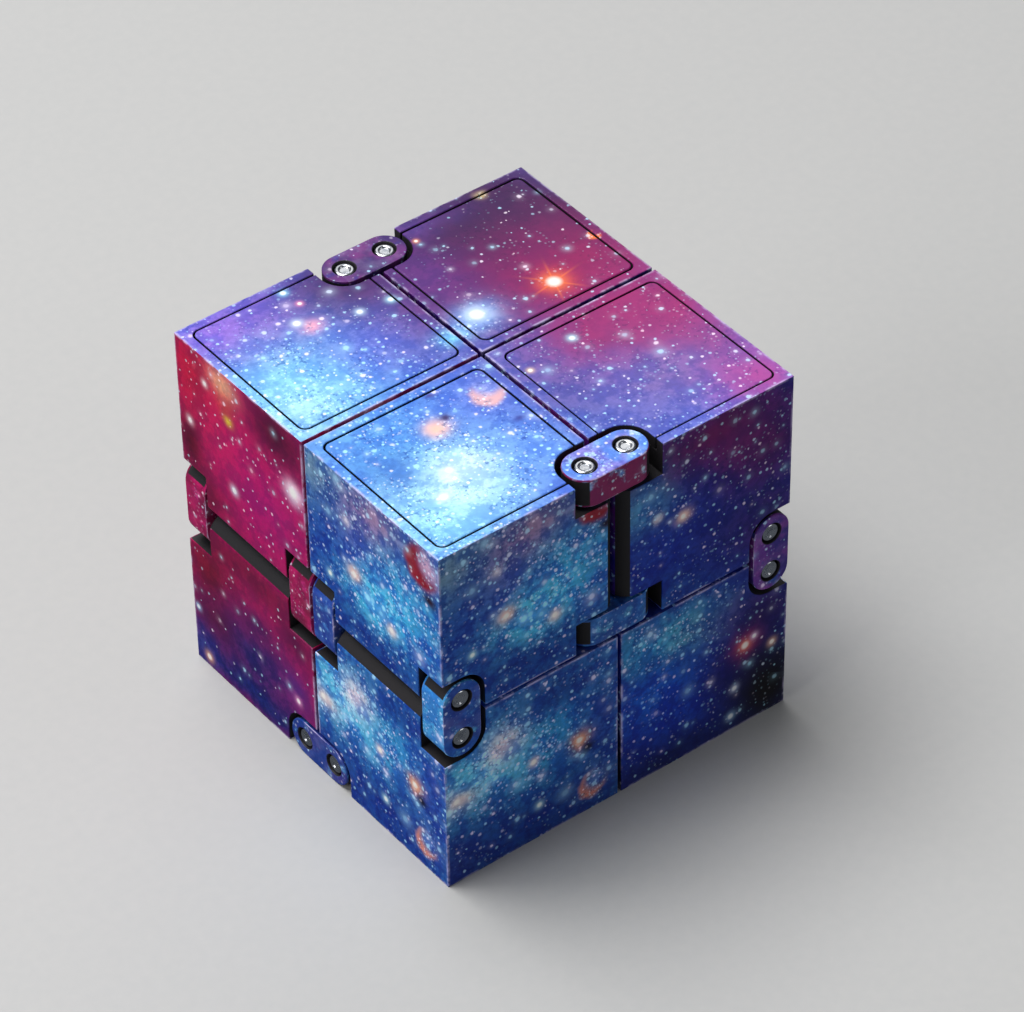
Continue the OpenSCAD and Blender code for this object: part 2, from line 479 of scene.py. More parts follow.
cooler = mixed(starry, 1.0, sky, COOLER, "MULTIPLY")
warmer = mixed(starry, 1.0, sky, WARMER, "MULTIPLY")
toned = mixed(starry, ramped(starry, billow, 0.42, 0.58), cooler, warmer)
grained = mixed(starry, 1.0, toned, ramped(starry, grain, 0.3, 0.7, 0.8, 1.16), "MULTIPLY")
colour = mixed(starry, broken, sky, grained)

thick = product(starry, ramped(starry, drift, 0.42, 0.58), given["Dust"])
dusty = product(starry, thick, crowded, clamp=True)
darker = mixed(starry, 1.0, colour, SPECK, "MULTIPLY")
specks = product(starry, ramped(starry, clump, 0.54, 0.64, 0.0, 0.9), dusty)
colour = mixed(starry, specks, colour, darker)

bright = mixed(starry, 1.0, sky, BRIGHTER, "MULTIPLY")
uneven = vector(starry, "ADD", given["Point"], shaken(starry, given["Point"], 0.3, 0.16, 1.0))
share_here = product(starry, given["Stars"], crowded)
for index, (spacing, radius, share, strength, shine) in enumerate(LAYERS):
    shifted = vector(starry, "ADD", uneven, (37.1 * index + 11.3, 17.7 * index + 5.9, 0))
    dot = {"Radius": product(starry, given["Star size"], radius), "Share": product(starry, share_here, share)}
    layer = place(starry, stars, Point=shifted, Spacing=spacing, **dot)
    tint = mixed(starry, ramped(starry, layer["Tint"], 0.4, 0.95), paint("#B4ECFF"), paint("#FFEEFC"))
    light = mixed(starry, 0.72, bright, tint)
    faintness = number(starry, "FRACT", product(starry, layer["Tint"], 7.0))
    power = product(starry, ramped(starry, faintness, 0.0, 0.7, 0.4, 1.0), strength)
    amount = product(starry, layer["Star"], power)
    if index == 0:
        amount = product(starry, amount, dusty)
    if shine:
        colour = mixed(starry, product(starry, layer["Glow"], shine), colour, light)
    colour = mixed(starry, amount, colour, light)
feed(starry, result["Colour"], colour)


# %% [markdown]
# Each picture is written as lists, in the order they are painted. A patch of cloud is its middle, how far
# it reaches each way, its colour and how strong it is. A crescent is its middle, size, the way the bite
# leans and its colour. A large star is its middle, size, colour and how strong its rays are. Lengths are
# in millimetres on the box's own face. Small patches take finer bends than large ones, or they would be
# torn apart.


# %% Painting a picture
SMALL_PATCH = 2.7


def painted_sky(face, ground, patches, crescents, beacons, depth, **starriness):
    """A node group that takes a point in millimetres and gives the print's colour there."""
    tree, inputs, outputs = start_group("Sky on the " + face, {"Point": VECTOR}, {"Colour": COLOUR})
    point = inputs["Point"]
    bent = place(tree, ragged, Point=point, Large=3.0, Small=1.1)["Point"]
    fine = place(tree, ragged, Point=point, Large=0.6, Small=0.6)["Point"]
    colour = paint(ground)
    for x, y, reach_x, reach_y, code, amount in patches:
        patch_point = fine if reach_x < SMALL_PATCH else bent
        patch = {"Centre": (x, y, 0), "Reach": (reach_x, reach_y, 1), "Colour": paint(code), "Amount": amount}
        colour = place(tree, cloud, Base=colour, Point=patch_point, **patch)["Colour"]
    for x, y, size, lean_x, lean_y, code in crescents:
        shell = {"Centre": (x, y, 0), "Size": size, "Lean": (lean_x, lean_y, 0), "Colour": paint(code)}
        colour = place(tree, crescent, Base=colour, Point=fine, **shell)["Colour"]
    deep = made(tree, "ShaderNodeGamma", {"Color": colour, "Gamma": depth})["Color"]
    colour = place(tree, starry, Sky=deep, Point=point, **starriness)["Colour"]
    for x, y, size, code, rays in beacons:
        star = {"Centre": (x, y, 0), "Size": size, "Colour": paint(code), "Rays": rays}
        colour = place(tree, beacon, Base=colour, Point=point, **star)["Colour"]
    feed(tree, outputs["Colour"], colour)
    print(len(patches), "patches,", len(crescents), "crescents and", len(beacons), "large stars")
    return tree


# %% [markdown]
# The top picture runs over four lids: blue and white light in the left half, violet behind it, plum at
# the back right and rose at the front right. The small bright patches are the glow round single large
# stars.

# %% Picture: the top
TOP = [
    (-14, 16, 9, 6, "#8A60C8", 0.95),
    (-4, 16, 5, 6, "#4E3072", 1.0),
    (-15, 6, 9, 7, "#8AD8FA", 1.0),
    (-6, 7, 6, 6, "#6D86EE", 0.85),
    (-3, 2, 4, 3, "#5B78D8", 0.7),
    (-17, 3, 4, 5, "#BDEBFF", 0.8),
    (-17, 17, 3, 3, "#9A76DC", 0.7),
    (11, 12, 14, 13, "#601A5C", 1.4),
    (11, 18, 12, 6, "#421A58", 0.9),
    (11, 6, 11, 6, "#8A1C6A", 0.95),
    (17, 3, 5, 5, "#A01C60", 0.8),
    (3, 12, 4, 6, "#6C3A90", 0.7),
    (6, 19, 5, 2, "#6A4B9E", 0.6),
    (-13, -7, 9, 8, "#58A0E8", 1.0),
    (-4, -5, 6, 6, "#5C7FDC", 0.9),
    (-17, -17, 6, 5, "#8BD4F8", 0.8),
    (-13, -13, 7, 5, "#B4E8FF", 1.1),
    (-11, -12, 3, 3, "#E0F6FF", 0.9),
    (-16, -8, 3, 4, "#3F78C8", 0.6),
    (-4, -14, 5, 4, "#6FA0EE", 0.8),
    (3, -8, 4, 9, "#626AB8", 1.1),
    (14, -4, 9, 6, "#A03078", 1.3),
    (17, -9, 5, 8, "#AC3880", 0.8),
    (11, -13, 6, 5, "#8470B4", 0.9),
    (18, -18, 5, 4, "#B850A0", 0.9),
    (6, -17, 5, 3, "#6F6FBE", 0.7),
    (-0.5, 3.6, 1.6, 1.2, "#8FDCFF", 0.9),
    (3, 4.6, 2.4, 2.0, "#9CC8FF", 0.9),
    (-9.6, 12.9, 1.0, 1.0, "#FFB8CC", 0.9),
    (-9.5, -5.9, 1.3, 1.2, "#FFCDBE", 1.0),
    (-8, -5.1, 0.5, 0.4, "#3A2060", 0.9),
    (-7.3, -1.7, 0.5, 0.4, "#4A3C90", 0.8),
    (-3, -9.2, 0.5, 0.4, "#4A4498", 0.7),
    (-3.1, -4.6, 1.7, 1.6, "#A8B0EC", 0.8),
    (11.6, 4.2, 2.0, 2.0, "#D83C50", 0.8),
    (14.2, 19, 0.6, 0.5, "#F0D8A0", 0.8),
]
TOP_CRESCENTS = [
    (-3.1, -4.8, 2.0, 0.7, 1.1, "#F0BFC0"),
    (18.8, 7.4, 0.9, 0.5, 0.2, "#FF8A3C"),
]
TOP_BEACONS = [
    (11.6, 4.2, 1.0, "#FF8440", 0.9),
    (3.1, 4.8, 0.9, "#DCEEFF", 0.2),
    (-10.5, 14, 0.5, "#D8E8FF", 0.2),
    (-8.9, 18.4, 0.4, "#9CE0FF", 0.2),
    (-8.6, 16.2, 0.3, "#FF9CC0", 0.0),
    (-5, 11.8, 0.4, "#C8E4FF", 0.2),
    (-1.7, 11.5, 0.4, "#B0ECFF", 0.2),
    (5.3, 17, 0.25, "#FFA070", 0.0),
    (7.8, -3.3, 0.4, "#B8ECFF", 0.2),
    (2, -4.6, 0.3, "#FFD8B8", 0.0),
    (-12, -11, 0.4, "#F4FAFF", 0.1),
    (-14.6, -13.6, 0.5, "#F4FAFF", 0.0),
]
top_sky = painted_sky(
    "top",
    "#5B78D8",
    TOP,
    TOP_CRESCENTS,
    TOP_BEACONS,
    depth=1.15,
    Billow=0.5,
    Dust=1.0,
    Stars=1.1,
    Star_size=1.0,
)

# %% [markdown]
# The sides repeat: both outer sides of a column of boxes carry the same picture, and so do the faces that
# only show when the toy is folded open. So there are four side pictures, one for each column. All are
# printed darker than the top, by the same depth.

# %% The side pictures' depth
SIDE_DEPTH = 1.35
side_skies = {}
print("side depth", SIDE_DEPTH)

# %% [markdown]
# The front left column is the bluest: bright cyan gas in three drifts on a deep blue ground, a red shell
# at the top corner and small pale suns.

# %% Picture: the front left sides
clouds = [
    (1, 38, 5, 4, "#86A6C4", 0.9),
    (3, 30, 5, 5, "#3264BC", 0.9),
    (8, 32.5, 3, 3, "#6A70C8", 0.8),
    (9, 37, 4, 3, "#9A80BC", 0.9),
    (11, 38.5, 4, 2, "#C09CBC", 0.7),
    (14, 30, 5, 5, "#50BCF0", 0.95),
    (10, 28, 4, 3, "#64D0F8", 0.9),
    (18, 27, 3, 3, "#3C88D4", 0.8),
    (10, 22.5, 12, 2.6, "#2058AC", 0.9),
    (3, 17, 4, 2, "#3470BC", 0.8),
    (5, 12.5, 6, 4, "#70D0F8", 1.0),
    (10, 10, 4, 3, "#5CB4E4", 0.8),
    (13, 17, 4, 2.4, "#2258AC", 0.95),
    (14, 12, 4, 3, "#3C9CDC", 0.8),
    (18, 10, 3, 6, "#3C62BC", 0.8),
    (10, 2, 13, 4, "#1C4CA8", 0.9),
    (1, 2, 3, 3, "#38489C", 0.8),
    (6.5, 14, 2.2, 2.0, "#EADCEC", 1.0),
    (1.5, 10, 1.8, 1.3, "#F0DCE0", 0.9),
    (18.4, 37.8, 1.5, 2.0, "#E0BCD8", 0.95),
    (18.6, 34.2, 0.9, 0.7, "#4A1024", 0.95),
    (7.2, 29.5, 1.0, 0.9, "#F8D0C8", 0.9),
    (12.6, 26.6, 0.8, 0.8, "#F0DCE4", 0.9),
    (6.3, 35.2, 0.6, 0.6, "#DCD8EC", 0.8),
    (15.4, 9.4, 1.2, 1.1, "#F8A888", 1.0),
    (16.3, 8, 0.6, 0.5, "#241240", 0.95),
    (17.1, 3.4, 1.7, 1.6, "#8EA4DC", 0.9),
]
crescents = [(17.5, 37.4, 2.9, 1.5, 1.0, "#B81424"), (16.8, 3.1, 2.0, 0.5, 0.6, "#F0A898")]
suns = [
    (7.2, 29.5, 0.45, "#FFE4DC", 0.2),
    (12.6, 26.6, 0.4, "#FFF0F0", 0.2),
    (15.3, 9.5, 0.5, "#FFC8A4", 0.1),
    (10, 9.9, 0.45, "#FFE8EC", 0.1),
    (3.4, 27, 0.35, "#B8F0FF", 0.2),
    (10.6, 4.1, 0.4, "#B8ECFF", 0.2),
    (1.2, 10.2, 0.45, "#FFF0EC", 0.0),
]
side_skies["front_left"] = painted_sky(
    "front left sides",
    "#3F80C4",
    clouds,
    crescents,
    suns,
    depth=SIDE_DEPTH,
    Billow=1.0,
    Dust=1.3,
    Stars=1.6,
    Star_size=1.2,
)

# %% [markdown]
# The front right column fades from plum and violet at the top, through blue and cyan, to near black at
# the foot of its far edge.

# %% Picture: the front right sides
clouds = [
    (11, 38, 9, 4, "#8C2080", 1.0),
    (2, 38, 4, 3, "#5C4070", 0.8),
    (17, 33, 5, 5, "#7C2480", 0.9),
    (14, 35, 3, 2, "#94308C", 0.6),
    (3, 33, 3, 3.5, "#64A8D4", 0.9),
    (6, 27.5, 5, 4, "#2450BC", 0.9),
    (14, 26, 6, 4, "#40409C", 0.8),
    (18, 24, 4, 4, "#5C2C8C", 0.8),
    (4, 22, 5, 2.4, "#1C58B0", 0.8),
    (5, 16.5, 7, 3.2, "#50B0DC", 1.0),
    (9, 15.5, 3, 2, "#70B4CC", 0.8),
    (13, 15, 4, 3, "#6870B8", 0.8),
    (4, 10, 6, 4, "#1C74DC", 0.95),
    (7, 6, 6, 3, "#2058CC", 0.8),
    (17, 13, 4, 4, "#502880", 0.9),
    (14, 7, 4, 4, "#402C88", 0.7),
    (18, 3, 5, 6, "#20081C", 1.0),
    (6, 1, 7, 2, "#1C2C7C", 0.8),
    (15, 10, 1.8, 1.6, "#C04080", 0.9),
    (7.3, 30.2, 0.9, 0.8, "#F4C8C0", 0.9),
    (4.4, 31.4, 0.6, 0.6, "#F4D0CC", 0.7),
]
suns = [
    (15, 10, 0.6, "#FF9078", 0.3),
    (16.1, 10.6, 0.35, "#F0C8F4", 0.1),
    (18.3, 8.6, 0.4, "#FFC8B0", 0.1),
    (13.8, 5.2, 0.4, "#C8D4F8", 0.2),
    (7.3, 30.2, 0.4, "#FFE4D8", 0.2),
    (13.4, 1.8, 0.45, "#A8D0F8", 0.1),
]
side_skies["front_right"] = painted_sky(
    "front right sides",
    "#2C48AC",
    clouds,
    [],
    suns,
    depth=SIDE_DEPTH,
    Billow=0.9,
    Dust=1.4,
    Stars=1.7,
    Star_size=1.1,
)

# %% [markdown]
# The rear left column is crimson and pink, with one burnt orange corner, and turns blue towards its foot.
# It has few stars and almost no dust.

# %% Picture: the rear left sides
clouds = [
    (3, 36, 5, 6, "#D42458", 0.95),
    (9, 32, 6, 5, "#DC1C80", 0.8),
    (16, 38, 5, 3, "#741850", 0.95),
    (14, 28, 6, 5, "#C40C8C", 0.95),
    (1.5, 28, 2, 3, "#700C3C", 0.9),
    (3, 23, 4, 3, "#8C1048", 0.8),
    (7.5, 38.6, 2.2, 1.6, "#FFC8A8", 0.95),
    (7.8, 36.4, 1.4, 1.6, "#F0705C", 0.6),
    (8.1, 34.7, 0.7, 0.6, "#FFDC60", 1.0),
    (18.2, 32.8, 1.4, 1.2, "#FCDCF4", 1.0),
    (9, 17.5, 12, 3, "#98105C", 0.95),
    (3, 12.5, 4, 4, "#940842", 0.95),
    (10, 11.5, 4, 2, "#7C2474", 0.8),
    (17, 14, 3, 3, "#7C1460", 0.8),
    (10, 7, 8, 4, "#403888", 0.95),
    (10, 2, 14, 3, "#28388C", 1.0),
    (3, 7, 3, 3, "#741C5C", 0.8),
    (1, 2, 3, 3, "#3C54A4", 0.9),
    (16.7, 7.5, 2.4, 2.4, "#8C409C", 0.9),
]
suns = [
    (18.1, 32.9, 0.8, "#FFECF8", 0.2),
    (8.4, 26.6, 0.45, "#DCE4FF", 0.2),
    (1.7, 30.7, 0.4, "#FFDCE8", 0.1),
    (4.6, 36.9, 0.35, "#FFE0E8", 0.1),
    (17, 6.4, 0.4, "#F8A8DC", 0.2),
    (2, 1.2, 0.5, "#FFB890", 0.2),
    (0.7, 6.8, 0.35, "#A0D0FF", 0.1),
]
side_skies["rear_left"] = painted_sky(
    "rear left sides",
    "#C4127C",
    clouds,
    [],
    suns,
    depth=SIDE_DEPTH,
    Billow=1.2,
    Dust=0.1,
    Stars=0.9,
    Star_size=1.0,
)

# %% [markdown]
# The rear right column is a dark sky of violet, plum and indigo.

# %% Picture: the rear right sides
clouds = [
    (5, 36, 6, 5, "#7A2A74", 0.9),
    (15, 34, 6, 6, "#30348A", 0.9),
    (12, 27, 6, 4, "#942C78", 0.8),
    (4, 25, 5, 4, "#40246E", 0.8),
    (6, 14, 7, 5, "#5C2A84", 0.8),
    (15, 12, 5, 5, "#8C2466", 0.8),
    (14, 3, 7, 4, "#202464", 0.9),
    (3, 4, 5, 4, "#501A5A", 0.8),
    (6.5, 31, 1.8, 1.6, "#E490BC", 0.9),
]
crescents = [(14.5, 9, 1.6, 0.6, 0.7, "#F0A080")]
suns = [(6.5, 31, 0.7, "#FFD4E4", 0.3), (13, 36, 0.5, "#B0DCFC", 0.2), (4, 9, 0.4, "#FFE0D8", 0.2)]
side_skies["rear_right"] = painted_sky(
    "rear right sides",
    "#4A2478",
    clouds,
    crescents,
    suns,
    depth=SIDE_DEPTH,
    Billow=0.9,
    Dust=0.8,
    Stars=1.3,
    Star_size=1.0,
)

# %% [markdown]
# The bottom is never on show, but the toy is turned over all the time. It carries a calmer blue and
# violet sky.

# %% Picture: the bottom
BOTTOM = [
    (-12, 12, 9, 8, "#3C3F9C", 0.9),
    (12, 12, 9, 8, "#4A2A7A", 0.9),
    (-12, -12, 9, 8, "#2E78C4", 0.9),
    (12, -12, 9, 8, "#2C3A90", 0.9),
    (-9, -9, 4, 4, "#8BD4F8", 0.7),
    (9, 4, 4, 4, "#A83A86", 0.7),
    (-4, 8, 3, 3, "#7A5AC0", 0.7),
]
BOTTOM_CRESCENTS = [(6, -12, 1.8, 0.7, 0.7, "#F0BFC0")]
BOTTOM_BEACONS = [(5, -6, 0.8, "#E6F0FF", 0.5), (-14, 5, 0.6, "#FFC9D8", 0.3)]
bottom_sky = painted_sky(
    "bottom",
    "#34489E",
    BOTTOM,
    BOTTOM_CRESCENTS,
    BOTTOM_BEACONS,
    depth=1.2,
    Billow=0.8,
    Dust=1.0,
    Stars=1.3,
    Star_size=1.1,
)

# %% [markdown]
# This group paints a highlight along the sharp edges: it mixes a pale tone into the colour there. Noise
# breaks the line up, so that the painted highlight is patchy.

# %% Group: painted edge highlights
edge_highlight, given, result = start_group(
    "Painted edge highlights",
    {"Colour": COLOUR, "Place": VECTOR, "Edge": VALUE, "Tone": COLOUR, "Amount": VALUE},
    {"Colour": COLOUR},
)
patchy = ramped(edge_highlight, noise(edge_highlight, given["Place"], 1.6, 3.0, 0.6), 0.4, 0.66)
highlight_share = product(edge_highlight, patchy, given["Edge"], given["Amount"], clamp=True)
# The pale tone is mixed in as a painted highlight along the edges.
feed(edge_highlight, result["Colour"], mixed(edge_highlight, highlight_share, given["Colour"], given["Tone"]))

# %% [markdown]
# Under its lacquer the print is very slightly uneven, like orange peel, and bare plastic is finely
# pebbled by the mould. Both are small bumps, so one group makes the height for a Bump node, and the
# roughness that goes with it: satin where there is lacquer and duller where there is none.

# %% Group: lacquer and bare plastic
BARE_ROUGHNESS = 0.5
LACQUER_ROUGHNESS = 0.34

surface, given, result = start_group(
    "Moulded surface",
    {"Place": VECTOR, "Lacquer": VALUE},
    {"Height": VALUE, "Roughness": VALUE},
)


def plain_mix(tree, amount, first, second):
    """A Mix node for numbers."""
    return made(tree, "ShaderNodeMix", {0: amount, 2: first, 3: second})[0]


peel = noise(surface, given["Place"], 0.8)
pebble = noise(surface, given["Place"], 0.12, 1.0)
smear = ramped(surface, noise(surface, given["Place"], 6.0, 3.0), 0.35, 0.7, -0.05, 0.07)
gloss = number(surface, "ADD", smear, LACQUER_ROUGHNESS)
height = plain_mix(surface, given["Lacquer"], product(surface, pebble, 0.5), peel)
feed(surface, result["Height"], height)
feed(surface, result["Roughness"], plain_mix(surface, given["Lacquer"], BARE_ROUGHNESS, gloss))

# %% [markdown]
# A material starts with the place of the point on the toy at rest, in millimetres. It comes from the
# object's own coordinates, so the print moves with the piece when the toy folds. One helper makes a new
# material with that place, a Principled BSDF and a Bump node already wired, and a second wires the
# finished print into it. The coat and the specular level are low, so that the studio does not wash out
# the dark parts of the sky.


# %% Materials of plastic
BARE_PLASTIC = paint("#2B292C")
# The pale lavender below is painted along the edges as a highlight.
HIGHLIGHT_TONE = paint("#D8CCF4")
COAT = 0.08


def start_material(name, lacquer_depth=0.02):
    """A new material: its node tree, its shader, its bump and the place in millimetres."""
    material = bpy.data.materials.new(name)
    material.use_nodes = True
    tree = material.node_tree
    shader = tree.nodes["Principled BSDF"]
    own_place = made(tree, "ShaderNodeTexCoord")["Object"]
    spot = vector(tree, "MULTIPLY", own_place, (1 / MM, 1 / MM, 1 / MM))
    bump = tree.nodes.new("ShaderNodeBump")
    bump.inputs["Strength"].default_value = 0.5
    bump.inputs["Distance"].default_value = lacquer_depth * MM
    feed(tree, shader.inputs["Normal"], bump.outputs["Normal"])
    return material, tree, shader, bump, spot


def finish_print(tree, shader, bump, spot, colour, printed, edge, highlight_amount):
    """Wires a printed colour, its bare parts and its painted edge highlights into the shader."""
    highlighted = place(tree, edge_highlight, Colour=colour, Place=spot, Edge=edge, Tone=HIGHLIGHT_TONE, Amount=highlight_amount)["Colour"]
    skin = place(tree, surface, Place=spot, Lacquer=printed)
    feed(tree, shader.inputs["Base Color"], mixed(tree, printed, BARE_PLASTIC, highlighted))
    feed(tree, shader.inputs["Roughness"], skin["Roughness"])
    feed(tree, bump.inputs["Height"], skin["Height"])
    feed(tree, shader.inputs["Coat Weight"], product(tree, printed, COAT))
    shader.inputs["Coat Roughness"].default_value = 0.16
    shader.inputs["Specular IOR Level"].default_value = 0.28


# %% [markdown]
# Each box has its own printed material, because each shows a different piece of the pictures. The shell
# and the lid share it. The record names the material slots, and the names here are the same.

# %% Printed boxes
SLOTS = {
    "upper_front_left": "print_sky",
    "upper_front_right": "print_pink",
    "upper_rear_left": "print_violet",
    "upper_rear_right": "print_plum",
    "lower_front_left": "print_blue",
    "lower_front_right": "print_navy",
    "lower_rear_left": "print_crimson",
    "lower_rear_right": "print_indigo",
}
PRINT_DEPTH = 0.12
# How strongly the pale highlight is painted along a box's edges.
BOX_HIGHLIGHT = 0.6


def box_material(box):
    """The printed plastic of one box."""
    material, tree, shader, bump, spot = start_material(SLOTS[box] + "_plastic")
    level_name, column = box.split("_", 1)
    box_place = {"Box_centre": centre_of("shell_" + box) / MM, "Half_width": half / MM}
    lay = place(tree, layout, Place=spot, Depth=PRINT_DEPTH, **box_place)
    level_sky = top_sky if level_name == "upper" else bottom_sky
    level_colour = place(tree, level_sky, Point=lay["Flat point"])["Colour"]
    side_colour = place(tree, side_skies[column], Point=lay["Side point"])["Colour"]
    colour = mixed(tree, lay["Level face"], side_colour, level_colour)
    finish_print(tree, shader, bump, spot, colour, lay["Printed"], lay["Edge"], BOX_HIGHLIGHT)
    return material


box_materials = {box: box_material(box) for box in SLOTS}
print("box materials", len(box_materials))

# %% [markdown]
# CAD gives perfectly sharp edges, but a moulded box has a small round along each one, and that round is
# what catches the light. Four modifiers make it without touching the CAD mesh: Weld joins the split
# corners, Decimate merges the flat triangles, Bevel rounds the sharp edges, and Weighted Normal keeps
# flat faces flat.


# %% Moulded edges
SAME_POINT = 0.002 * MM
SHELL_ROUND = 0.18 * MM
LID_ROUND = 0.16 * MM


def round_edges(piece, width, sharper_than=35, segments=3):
    """Rounds a piece's edges by a width in metres, where its faces meet at more than this many degrees."""
    weld = piece.modifiers.new("join_corners", "WELD")
    weld.merge_threshold = SAME_POINT
    flatten = piece.modifiers.new("merge_flats", "DECIMATE")
    flatten.decimate_type = "DISSOLVE"
    flatten.angle_limit = radians(0.5)
    edge = piece.modifiers.new("moulded_edges", "BEVEL")
    edge.width = width
    edge.segments = segments
    edge.limit_method = "ANGLE"
    edge.angle_limit = radians(sharper_than)
    edge.miter_outer = "MITER_ARC"
    edge.use_clamp_overlap = True
    normals = piece.modifiers.new("flat_faces", "WEIGHTED_NORMAL")
    normals.keep_sharp = False


def dress(piece, material):
    """Gives a piece one material for all its faces."""
    for slot in piece.material_slots:
        slot.material = material


shells = []
for column in COLUMNS:
    box = "upper_" + column
    for kind, width in (("shell_", SHELL_ROUND), ("lid_", LID_ROUND)):
        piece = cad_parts[kind + box]
        round_edges(piece, width)
        dress(piece, box_materials[box])
        if kind == "shell_":
            shells.append(piece)
print("upper boxes", len(shells))

# %% [markdown]
# A lower box is an upper box laid on its side, but the CAD rounds one more of its edges, to let the toy
# fold without the corners meeting. On the real toy that edge is sharp and the hinges give a little. So
# the lower boxes shown are copies of an upper one, turned and mirrored into place, and they stand for the
# CAD boxes.


# %% Lower boxes
def laid_copy(kind, column):
    """A copy of an upper front left piece, laid in the place of the lower one in this column."""
    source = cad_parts[kind + "_upper_front_left"]
    start = centre_of("shell_upper_front_left")
    end = centre_of("shell_lower_" + column)
    lay_down = Matrix(((0, 0, 1), (0, -1, 0), (-1, 0, 0)))
    mirror = Matrix.Diagonal((1 if "left" in column else -1, 1 if "front" in column else -1, 1))
    turn = mirror @ lay_down
    mesh = bpy.data.meshes.new(kind + "_laid_" + column)
    grid = bmesh.new()
    grid.from_mesh(source.data)
    bmesh.ops.remove_doubles(grid, verts=grid.verts, dist=SAME_POINT)
    for vertex in grid.verts:
        vertex.co = turn @ (vertex.co - start) + end
    if turn.determinant() < 0:
        bmesh.ops.reverse_faces(grid, faces=grid.faces)
    for face in grid.faces:
        face.smooth = True
        face.material_index = 0
    grid.to_mesh(mesh)
    grid.free()
    piece = bpy.data.objects.new(kind + "_laid_" + column, mesh)
    bpy.context.scene.collection.objects.link(piece)
    mesh.materials.append(box_materials["lower_" + column])
    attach(piece, "cubelet_lower_" + column)
    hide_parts(kind + "_lower_" + column)
    return piece


for column in COLUMNS:
    shell_piece = laid_copy("shell", column)
    shells.append(shell_piece)
    round_edges(shell_piece, SHELL_ROUND)
    round_edges(laid_copy("lid", column), LID_ROUND)
print("lower boxes laid", len(COLUMNS))

# %% [markdown]
# The links are printed as well, on their flat faces: the round ends and the holes for the pins stay bare.
# A link's box tells everything needed. Its pins run along its shortest side, and they stand in from the
# ends of its longest side by half of its middle one. The group takes the link's middle and two
# directions, Along from pin to pin and Through along the pins. The distance from a pin's axis comes from
# the rule of Pythagoras.

# %% Group: print on a link
CAP_BAND = (0.3, 0.2)
FLAT_BAND = (0.95, 0.85)
HOLE_BAND = (1.16, 1.22)
BEVEL_TILT = 0.6
BEVEL_SPREAD = 0.25

link_layout, given, result = start_group(
    "Link layout",
    {
        "Place": VECTOR,
        "Facing": VECTOR,
        "Middle": VECTOR,
        "Along": VECTOR,
        "Through": VECTOR,
        "Pin spread": VALUE,
        "Half thickness": VALUE,
    },
    {"Printed": VALUE, "Edge": VALUE, "Side": VALUE},
)


def measured_along(one, other):
    """How far one vector reaches along another, either way."""
    return number(link_layout, "ABSOLUTE", vector(link_layout, "DOT_PRODUCT", one, other))


def squared(value):
    """A number times itself."""
    return product(link_layout, value, value)


offset = vector(link_layout, "SUBTRACT", given["Place"], given["Middle"])
along = measured_along(offset, given["Along"])
through = measured_along(offset, given["Through"])
cap = ramped(link_layout, number(link_layout, "SUBTRACT", given["Half thickness"], through), *CAP_BAND)
past_pins = number(link_layout, "SUBTRACT", along, given["Pin spread"])
flat_side = ramped(link_layout, past_pins, *FLAT_BAND)
aside_squared = vector(link_layout, "DOT_PRODUCT", offset, offset)
for known in (through, along):
    aside_squared = number(link_layout, "SUBTRACT", aside_squared, squared(known))
pin_squared = number(link_layout, "ADD", aside_squared, squared(past_pins))
from_pin = number(link_layout, "SQRT", number(link_layout, "MAXIMUM", pin_squared, 0.0))
outside_hole = ramped(link_layout, from_pin, *HOLE_BAND)
printed = product(link_layout, outside_hole, number(link_layout, "MAXIMUM", cap, flat_side))
feed(link_layout, result["Printed"], printed)
# Edge is the band on a link's bevels, found from which way the surface looks, where a pale highlight is
# painted.
tilt = measured_along(given["Facing"], given["Through"])
bevel_band = bell(link_layout, number(link_layout, "SUBTRACT", tilt, BEVEL_TILT), BEVEL_SPREAD)
feed(link_layout, result["Edge"], product(link_layout, bevel_band, flat_side))
feed(link_layout, result["Side"], ramped(link_layout, tilt, 0.8, 0.6))

# %% [markdown]
# A link is small and round at its ends, so its picture is wrapped: each face takes the two coordinates
# that lie in it. Which way a face looks comes from the surface's own direction, so the same group serves
# every link.

# %% Group: wrapped picture
FACES_AXIS = 0.7

wrapped, given, result = start_group("Wrapped point", {"Place": VECTOR, "Facing": VECTOR}, {"Point": VECTOR})
at = split(wrapped, given["Place"])
looks = split(wrapped, vector(wrapped, "ABSOLUTE", given["Facing"]))
looks_x = number(wrapped, "GREATER_THAN", looks["X"], FACES_AXIS)
looks_z = number(wrapped, "GREATER_THAN", looks["Z"], FACES_AXIS)
across = number(wrapped, "MULTIPLY_ADD", looks_x, number(wrapped, "SUBTRACT", at["Y"], at["X"]), at["X"])
along = number(wrapped, "MULTIPLY_ADD", looks_z, number(wrapped, "SUBTRACT", at["Y"], at["Z"]), at["Z"])
feed(wrapped, result["Point"], joined(wrapped, X=across, Y=along))

# %% [markdown]
# Each pair of links has its own colours: a first sky, patches of a second and wisps of a third, so no
# link is a single flat colour. On two links the long side differs from the face with the pins, so it has
# a colour too.

# %% Printed links
LINK_SKIES = {
    "front_outer": ("#6C98E8", "#7C78D4", "#A0C8F8"),
    "front_inner": ("#2E70C0", "#2050A4", "#60B4E0"),
    "rear": ("#46286A", "#6C2F78", "#3A3488"),
    "left_front_outer": ("#1E56B4", "#2448A4", "#4FA4DC"),
    "left_front_inner": ("#2C54B0", "#24409C", "#4C90D8"),
    "left_rear": ("#B81060", "#8C0C48", "#D82C88"),
    "right_front": ("#4C3490", "#7A3A9C", "#3450A8"),
    "right_rear": ("#5A2A86", "#8E3A8C", "#3A3A96"),
    "base_left": ("#24489C", "#34348C", "#4F93D0"),
    "base_right": ("#2A3A90", "#5A2A78", "#3A6CB8"),
}
LINK_SIDES = {"front_outer": "#8A2460", "left_front_outer": "#3A94DC"}
# How strongly the pale highlight is painted along a link's bevels.
LINK_HIGHLIGHT = 0.9


